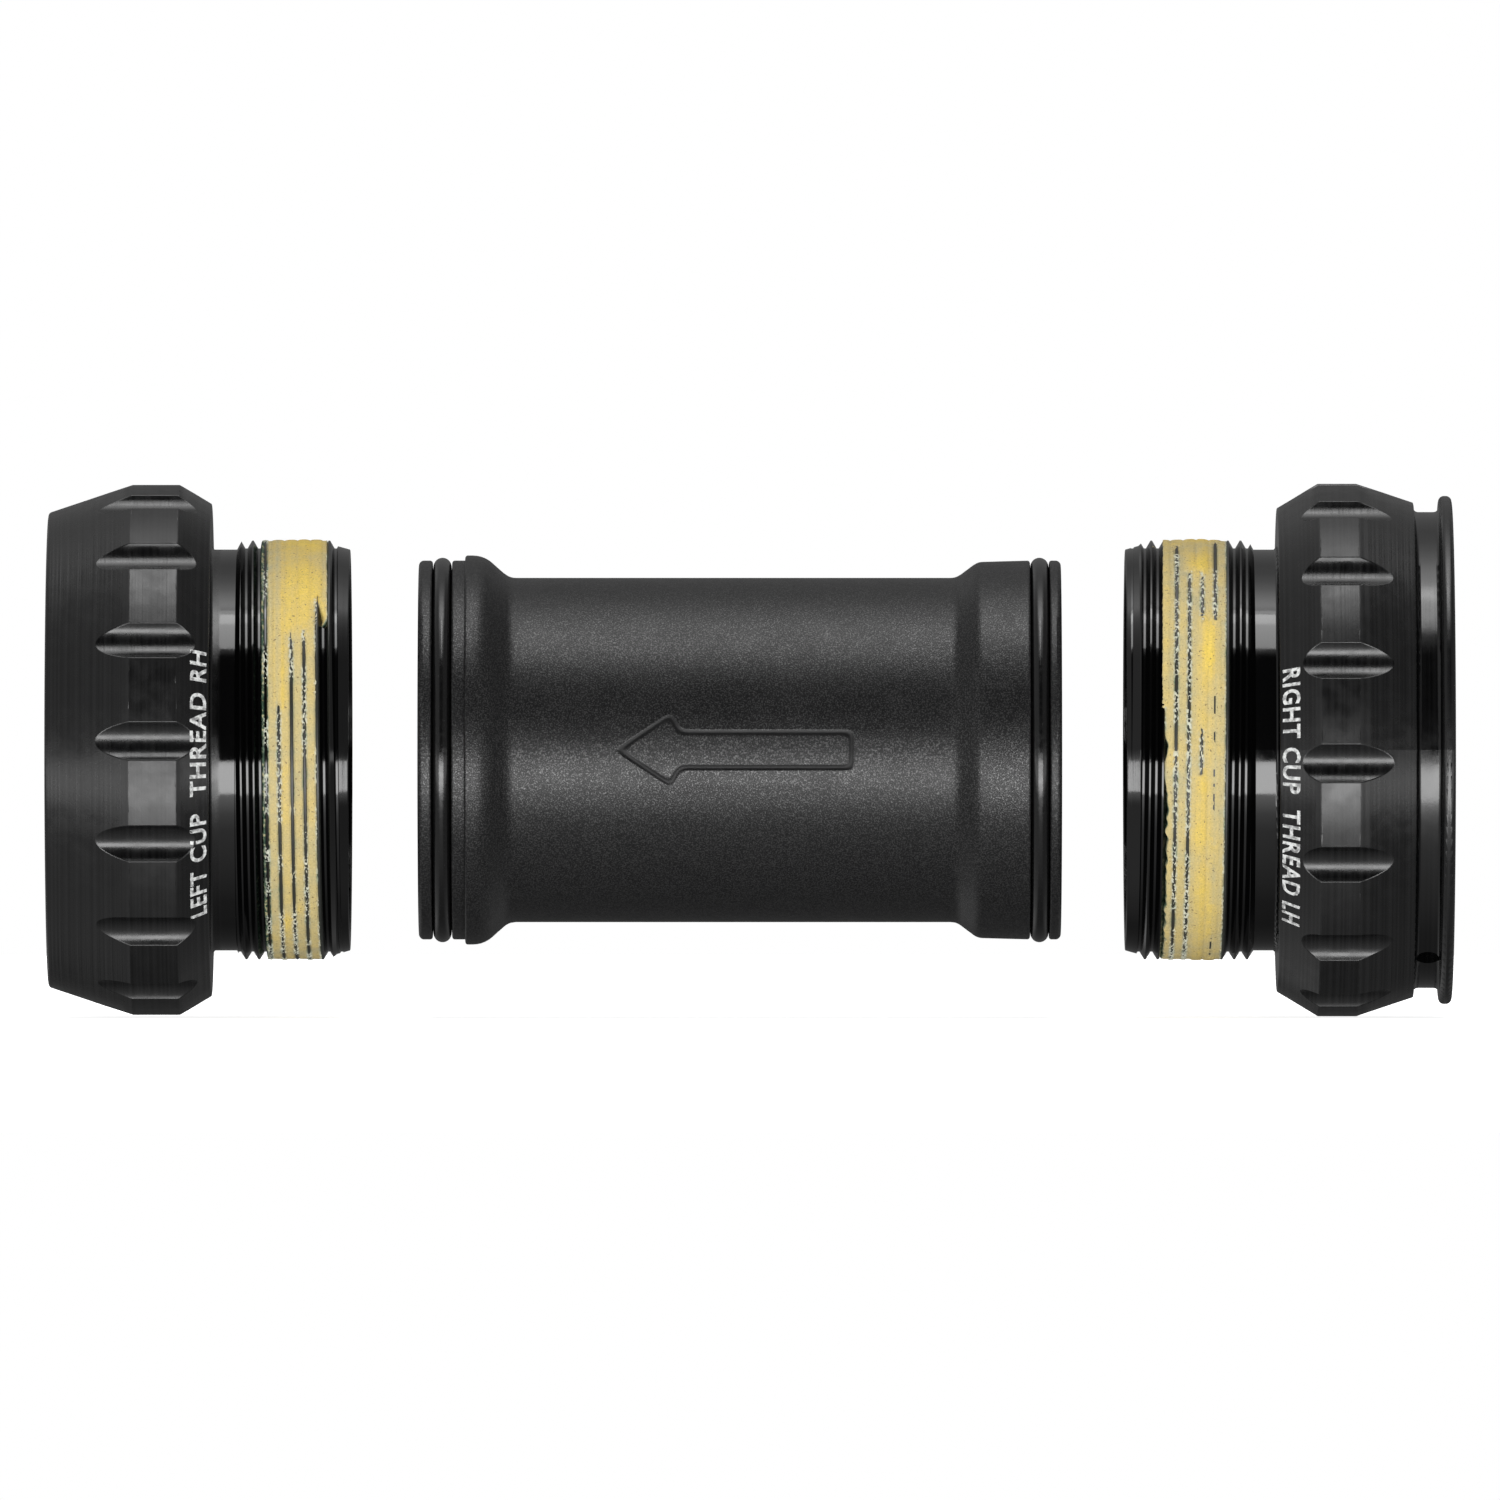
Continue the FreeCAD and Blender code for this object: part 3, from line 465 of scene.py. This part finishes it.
def film_at(side, x, angle, first, last, hidden, lumps, seed):
    """The compound's outer radius, its thickness for the colour, and how chalky it is."""
    a = math.radians(angle)
    spot = Vector((x, CREST_R * math.cos(a), CREST_R * math.sin(a)))
    spot += Vector((seed * 7.3, seed * 3.1, seed))
    swell = noise.noise(spot * 0.55)
    fine = noise.noise(spot * 3.4)
    edge = min(x - first, last - x) + 0.05 * fine + 0.03 * swell
    turn = nearest_turn(side, x, angle)
    distance = abs(x - crest_side(side, angle, turn))
    radius = VALLEY_R + 0.03 * swell + 0.012 * fine
    film = 0.44 + 0.16 * swell
    if (side, nearest_turn(side, x + side * PITCH / 2, angle)) in RICH_GROOVES:
        film += 0.09
    chalk = 0.0
    share = hidden_share(turn, angle, hidden, fine, noise.noise(spot * 0.3))
    if (side, turn) == FAINT_LINE and angle < FAINT_BELOW:
        share = max(share, FAINT_SHARE)
    cover = COVER_R + 0.03 * swell
    if distance < LINE_REACH:
        crumbs = noise.noise(spot * 5.2) + 0.9 * noise.noise(spot * 10.5)
        arc = CREST_R * a
        crumbling = smooth(
            noise.noise(Vector((turn * 5.1, arc * 0.33, seed))),
            CRUMBLE_FROM[side], CRUMBLE_FROM[side] + 0.24)
        chip = smooth(crumbs, -0.02, 0.16) * (1.0 - smooth(share, 0.05, 0.5)) * crumbling
        if side > 0:
            chip *= smooth(edge, 0.2, 0.4)
        on_crest = 1.0 - smooth(distance, LINE_FLAT, LINE_FOOT)
        line_radius = cover * share + BARE_R * (1.0 - share)
        line_radius += (CRUMB_R - line_radius) * chip
        radius += (line_radius - radius) * on_crest
        chalk = chip * on_crest
        film -= 0.22 * on_crest * (1.0 - share)
        if (side, turn) == TRACE_LINE:
            film -= 0.20 * on_crest * share
    spread = share * (1.0 - smooth(distance, 0.3, 0.6))
    radius += (cover + 0.02 - radius) * spread * 0.8
    film += 0.14 * spread
    for lump_x, lump_angle, half_x, half_angle, height in lumps:
        reach = math.hypot((x - lump_x) / half_x, (angle - lump_angle) / half_angle)
        if reach < 1.5:
            amount = 1.0 - smooth(reach, 0.0, 1.5)
            radius += height * amount
            film += min(0.42, 4.0 * height) * amount
    skin = smooth(edge, 0.0, SKIN_WIDTH)
    if side < 0:
        skin *= 1.0 - tongue_gap(x, angle)
    radius = radius * skin + (BAND_INNER_R + 0.08) * (1.0 - skin)
    film *= 0.15 + 0.85 * smooth(edge, 0.04, 0.20)
    if side > 0:
        film *= smooth(last - x, 0.08, 0.42)
    if side < 0:
        stain = 1.0 - smooth(x - first + 0.12 * fine, 0.50, 0.66)
        film *= 1.0 - 0.85 * stain * (1.0 - smooth(noise.noise(spot * 5.0), 0.1, 0.3))
    return radius, min(1.0, max(0.0, film)), chalk


def left_edges(angle):
    """Where the left band starts and ends at an angle; its tongue is the wide stretch above."""
    lead = closing(angle)
    tongue = 0.94 * patch(angle, 37.5, 124.0, 1.5)
    return crest_side(-1, lead, 3) - 0.42, crest_side(-1, lead, 7) + 0.06 + tongue


def right_edges(angle):
    """Where the right band starts and ends; its inboard edge is ragged low down in front."""
    lead = closing(angle)
    ragged = 0.52 + 0.30 * noise.noise(Vector((angle * 0.33, 4.0, 9.0)))
    retreat = ragged * patch(angle, -150.0, 4.0, 4.0) * (1.0 - 0.7 * patch(angle, -9.0, -2.0, 2.0))
    return crest_side(1, lead, 8) - 0.22 + retreat, crest_side(1, lead, 3) + 0.18


def put_in_order(bm):
    """Gives the points, edges and faces one order, because a merged spin leaves them in any order."""
    def middle(part):
        corners = getattr(part, "verts", [part])
        return tuple(round(sum(v.co[i] for v in corners) / len(corners) / MM, 4) for i in range(3))

    for parts in (bm.verts, bm.edges, bm.faces):
        rank = {part: i for i, part in enumerate(sorted(parts, key=middle))}
        parts.sort(key=rank.get)
        parts.index_update()


def ring_band(name, side, edges_at, hidden, lumps, seed, cuts, steps):
    """A closed ring of compound that follows the thread's lead, riding on its cup."""
    bm = bmesh.new()
    corners = [bm.verts.new((x * MM, 0.0, r * MM)) for x, r in (
        (0.0, BAND_INNER_R), (0.0, CREST_R), (1.0, CREST_R), (1.0, BAND_INNER_R))]
    sides = [bm.edges.new((corners[i], corners[(i + 1) % 4])) for i in range(4)]
    bmesh.ops.subdivide_edges(bm, edges=[sides[1]], cuts=cuts)
    bmesh.ops.spin(
        bm, geom=bm.verts[:] + bm.edges[:], cent=(0, 0, 0), axis=(1, 0, 0),
        angle=math.tau, steps=steps, use_merge=True)
    put_in_order(bm)
    bmesh.ops.recalc_face_normals(bm, faces=bm.faces)
    films, chalks = [], []
    for vert in bm.verts:
        share, y, z = vert.co / MM
        radius = math.hypot(y, z)
        angle = math.degrees(math.atan2(z, -y))
        first, last = edges_at(angle)
        x = first + share * (last - first)
        wanted, film, chalk = BAND_INNER_R, 0.1, 0.0
        if radius > (BAND_INNER_R + CREST_R) / 2:
            wanted, film, chalk = film_at(side, x, angle, first, last, hidden, lumps, seed)
        vert.co = Vector((x, y * wanted / radius, z * wanted / radius)) * MM
        films.append(film)
        chalks.append(chalk)
    for face in bm.faces:
        face.smooth = True
    mesh = bpy.data.meshes.new(name)
    bm.to_mesh(mesh)
    bm.free()
    for label, values in (("film", films), ("chalk", chalks)):
        mesh.attributes.new(label, "FLOAT", "POINT").data.foreach_set("value", values)
    mesh.materials.append(MATERIALS["dried_compound"])
    piece = bpy.data.objects.new(name, mesh)
    bpy.context.scene.collection.objects.link(piece)
    return piece


BAND_CUTS, BAND_STEPS = 84, 720
left_band = ring_band(
    "left_compound_film", -1, left_edges, LEFT_HIDDEN, LEFT_LUMPS, 3, BAND_CUTS, BAND_STEPS)
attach(left_band, "left_cup")
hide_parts("left_thread_compound")
right_band = ring_band(
    "right_compound_film", 1, right_edges, RIGHT_HIDDEN, RIGHT_LUMPS, 8, BAND_CUTS, BAND_STEPS)
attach(right_band, "right_cup")
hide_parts("right_thread_compound")


# ---------------------------------------------------------------- markings

LEFT_CREST_END_X, LEFT_RING_CREST_R = -47.345, 22.03
RIGHT_CREST_END_X, RIGHT_RING_CREST_R = 47.145, 22.12
BEVEL_SLOPE = 0.60
NOTCH_DEPTH, NOTCH_CUT_R, NOTCH_COUNT = 0.93, 1.84, 16
LETTER_PROUD, LETTER_SUNK = 0.012, 0.02
SLICES_ALONG, SLICES_UP = 160, 5


def ring_surface(distance, angle, crest_r, notch_turn):
    """Radius of the inboard bevel, or of the notch that cuts it, past the end of the crest."""
    radius = crest_r - BEVEL_SLOPE * distance
    centre_r = crest_r - NOTCH_DEPTH + NOTCH_CUT_R
    step = 360.0 / NOTCH_COUNT
    off = math.radians((angle - notch_turn + step / 2) % step - step / 2)
    inside = NOTCH_CUT_R ** 2 - (centre_r * math.sin(off)) ** 2
    if inside > 0:
        radius = min(radius, centre_r * math.cos(off) - math.sqrt(inside))
    return radius


def marking(name, words, body, base_x, outboard, crest_end_x, crest_r, notch_turn, start, end, height):
    """Lettering bent onto a cup's inboard bevel, with the tops of the letters outboard."""
    font = bpy.data.curves.new(name, "FONT")
    font.body = words
    font.size = 1.0
    font.space_character = 1.12
    font.resolution_u = 4
    font.extrude = 0.5
    font.offset = 0.024
    maker = bpy.data.objects.new(name + "_maker", font)
    bpy.context.scene.collection.objects.link(maker)
    bpy.context.view_layer.update()
    flat = bpy.data.meshes.new_from_object(maker.evaluated_get(bpy.context.evaluated_depsgraph_get()))
    bpy.data.objects.remove(maker)
    bm = bmesh.new()
    bm.from_mesh(flat)
    bmesh.ops.remove_doubles(bm, verts=bm.verts, dist=0.0001)
    low = min(v.co.x for v in bm.verts)
    high = max(v.co.x for v in bm.verts)
    top = max(v.co.y for v in bm.verts)
    planes = [((low + (high - low) * i / SLICES_ALONG, 0, 0), (1, 0, 0)) for i in range(1, SLICES_ALONG)]
    planes += [((0, top * i / SLICES_UP, 0), (0, 1, 0)) for i in range(1, SLICES_UP)]
    for point, normal in planes:
        bmesh.ops.bisect_plane(
            bm, geom=bm.verts[:] + bm.edges[:] + bm.faces[:], plane_co=point, plane_no=normal)
    for vert in bm.verts:
        along, up, out = (vert.co.x - low) / (high - low), vert.co.y / top, vert.co.z
        angle = start + (end - start) * along
        x = base_x + outboard * height * up
        radius = ring_surface(abs(x - crest_end_x), angle, crest_r, notch_turn)
        radius += LETTER_PROUD if out > 0 else -LETTER_SUNK
        x += 0.035 * noise.noise(Vector((x * 7.0, angle * 2.2, 3.0)))
        a = math.radians(angle)
        vert.co = Vector((x, -radius * math.cos(a), radius * math.sin(a))) * MM
    bmesh.ops.recalc_face_normals(bm, faces=bm.faces)
    mesh = bpy.data.meshes.new(name)
    bm.to_mesh(mesh)
    bm.free()
    bpy.data.meshes.remove(flat)
    mesh.materials.append(MATERIALS["white_mark"])
    piece = bpy.data.objects.new(name, mesh)
    bpy.context.scene.collection.objects.link(piece)
    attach(piece, body)
    return piece


marking("left_cup_marking", "LEFT CUP  THREAD RH", "left_cup", -44.92, -1,
        LEFT_CREST_END_X, LEFT_RING_CREST_R, 1.9, -41.0, 23.0, 1.3)
marking("right_cup_marking", "RIGHT CUP  THREAD LH", "right_cup", 44.02, 1,
        RIGHT_CREST_END_X, RIGHT_RING_CREST_R, -2.9, 19.0, -44.0, 1.4)


# ---------------------------------------------------------------- studio

def area_light(name, elevation, distance, across, along, power):
    """A soft box that faces the origin; elevation is measured from the camera's side, up."""
    data = bpy.data.lights.new(name, "AREA")
    data.shape = "RECTANGLE"
    data.size = along
    data.size_y = across
    data.energy = power
    lamp = bpy.data.objects.new(name, data)
    bpy.context.scene.collection.objects.link(lamp)
    e = math.radians(elevation)
    lamp.location = (0.0, -distance * math.cos(e), distance * math.sin(e))
    lamp.rotation_mode = "QUATERNION"
    lamp.rotation_quaternion = (-lamp.location).to_track_quat("-Z", "Y")
    lamp.visible_camera = False
    return lamp


def soft_box(name, low, high, distance, along, radiance):
    """An area light between two elevations, with its brightness rather than its power."""
    half = math.radians((high - low) / 2)
    across = 2 * distance * math.tan(half)
    return area_light(name, (low + high) / 2, distance, across, along, radiance * math.pi * across * along)


soft_box("top_box", 60.0, 84.0, 0.8, 0.24, 4.3)
soft_box("top_strip", 77.0, 87.0, 0.9, 0.26, 2.2)
top_fill = soft_box("top_fill", 72.0, 100.0, 0.9, 1.0, 1.0)
top_fill.visible_glossy = False
soft_box("front_board", -25.0, -6.5, 0.8, 0.85, 7.0)

SURROUND = [
    (-180, 0.10), (-144, 0.08), (-120, 0.08), (-98, 0.15), (-73, 0.35), (-47, 0.57), (-37, 0.95),
    (-29, 1.9), (-24, 2.4), (-9, 2.4), (-6, 0.02), (56, 0.02), (60, 0.6), (84, 2.0), (92, 3.4),
    (99, 2.3), (106, 1.37), (114, 0.8), (123, 0.48), (133, 0.33), (147, 0.27), (180, 0.12),
]
BRIGHTEST = 4.0


def studio_world():
    world = bpy.data.worlds.new("studio")
    bpy.context.scene.world = world
    world.use_nodes = True
    tree = world.node_tree
    background = tree.nodes["Background"]
    background.inputs["Color"].default_value = (1.0, 1.0, 1.0, 1.0)
    direction = tree.nodes.new("ShaderNodeTexCoord").outputs["Generated"]
    x, y, z = split(tree, direction)
    elevation = math_node(tree, "ARCTAN2", z, math_node(tree, "MULTIPLY", y, -1.0))
    turn = remap(tree, elevation, -math.pi, math.pi, 0.0, 1.0, False)
    stops = [((degrees + 180.0) / 360.0, (value / BRIGHTEST,) * 3) for degrees, value in SURROUND]
    middle = math_node(tree, "MULTIPLY", colour_ramp(tree, turn, stops), BRIGHTEST)
    sideways = remap(tree, math_node(tree, "ABSOLUTE", x), 0.22, 0.48)
    side = remap(tree, x, -0.3, 0.3, 0.42, 0.22)
    lit = math_node(
        tree, "ADD", math_node(tree, "MULTIPLY", middle, math_node(tree, "SUBTRACT", 1.0, sideways)),
        math_node(tree, "MULTIPLY", side, sideways))
    board = math_node(
        tree, "MULTIPLY", remap(tree, elevation, math.radians(-34.0), math.radians(-22.0)),
        remap(tree, elevation, math.radians(-9.0), math.radians(-3.0), 1.0, 0.0))
    board = math_node(tree, "MULTIPLY", math_node(tree, "MULTIPLY", board, sideways), 1.6)
    lit = math_node(tree, "ADD", lit, board)
    seen = tree.nodes.new("ShaderNodeLightPath").outputs["Is Camera Ray"]
    strength = tree.nodes.new("ShaderNodeMix")
    strength.data_type = "FLOAT"
    feed(tree, seen, strength.inputs[0])
    feed(tree, lit, strength.inputs[2])
    feed(tree, 1.0, strength.inputs[3])
    feed(tree, strength.outputs[0], background.inputs["Strength"])


studio_world()

FLOOR_Z, FLOOR_HALF_SIZE = -22.2 * MM, 0.9
floor_mesh = bpy.data.meshes.new("floor")
bm = bmesh.new()
bmesh.ops.create_grid(bm, x_segments=1, y_segments=1, size=FLOOR_HALF_SIZE)
bmesh.ops.translate(bm, verts=bm.verts, vec=(0.0, 0.0, FLOOR_Z))
bm.to_mesh(floor_mesh)
bm.free()
floor = bpy.data.objects.new("floor", floor_mesh)
bpy.context.scene.collection.objects.link(floor)
floor_mat, _, floor_shader = new_material("floor")
set_shader(floor_shader, (0.9, 0.9, 0.9), 0.9, 0.0, 0.0)
floor_shader.inputs["Emission Color"].default_value = (1.0, 1.0, 1.0, 1.0)
floor_shader.inputs["Emission Strength"].default_value = 0.85
floor_mesh.materials.append(floor_mat)
for ray in ("glossy", "diffuse", "shadow", "transmission"):
    setattr(floor, "visible_" + ray, False)

CAMERA_DISTANCE, CAMERA_LENS = 3.0, 866.8    # far off, so that the ends of the rings stay edge on
camera_data = bpy.data.cameras.new("camera")
camera_data.sensor_width = 36.0
camera_data.lens = CAMERA_LENS
camera_data.clip_start = 0.1
camera_data.clip_end = 20.0
camera = bpy.data.objects.new("camera", camera_data)
bpy.context.scene.collection.objects.link(camera)
camera.location = (0.0, -CAMERA_DISTANCE, 0.0)
camera.rotation_euler = (math.radians(90.0), 0.0, 0.0)
bpy.context.scene.camera = camera
bpy.context.scene.view_settings.view_transform = "Standard"
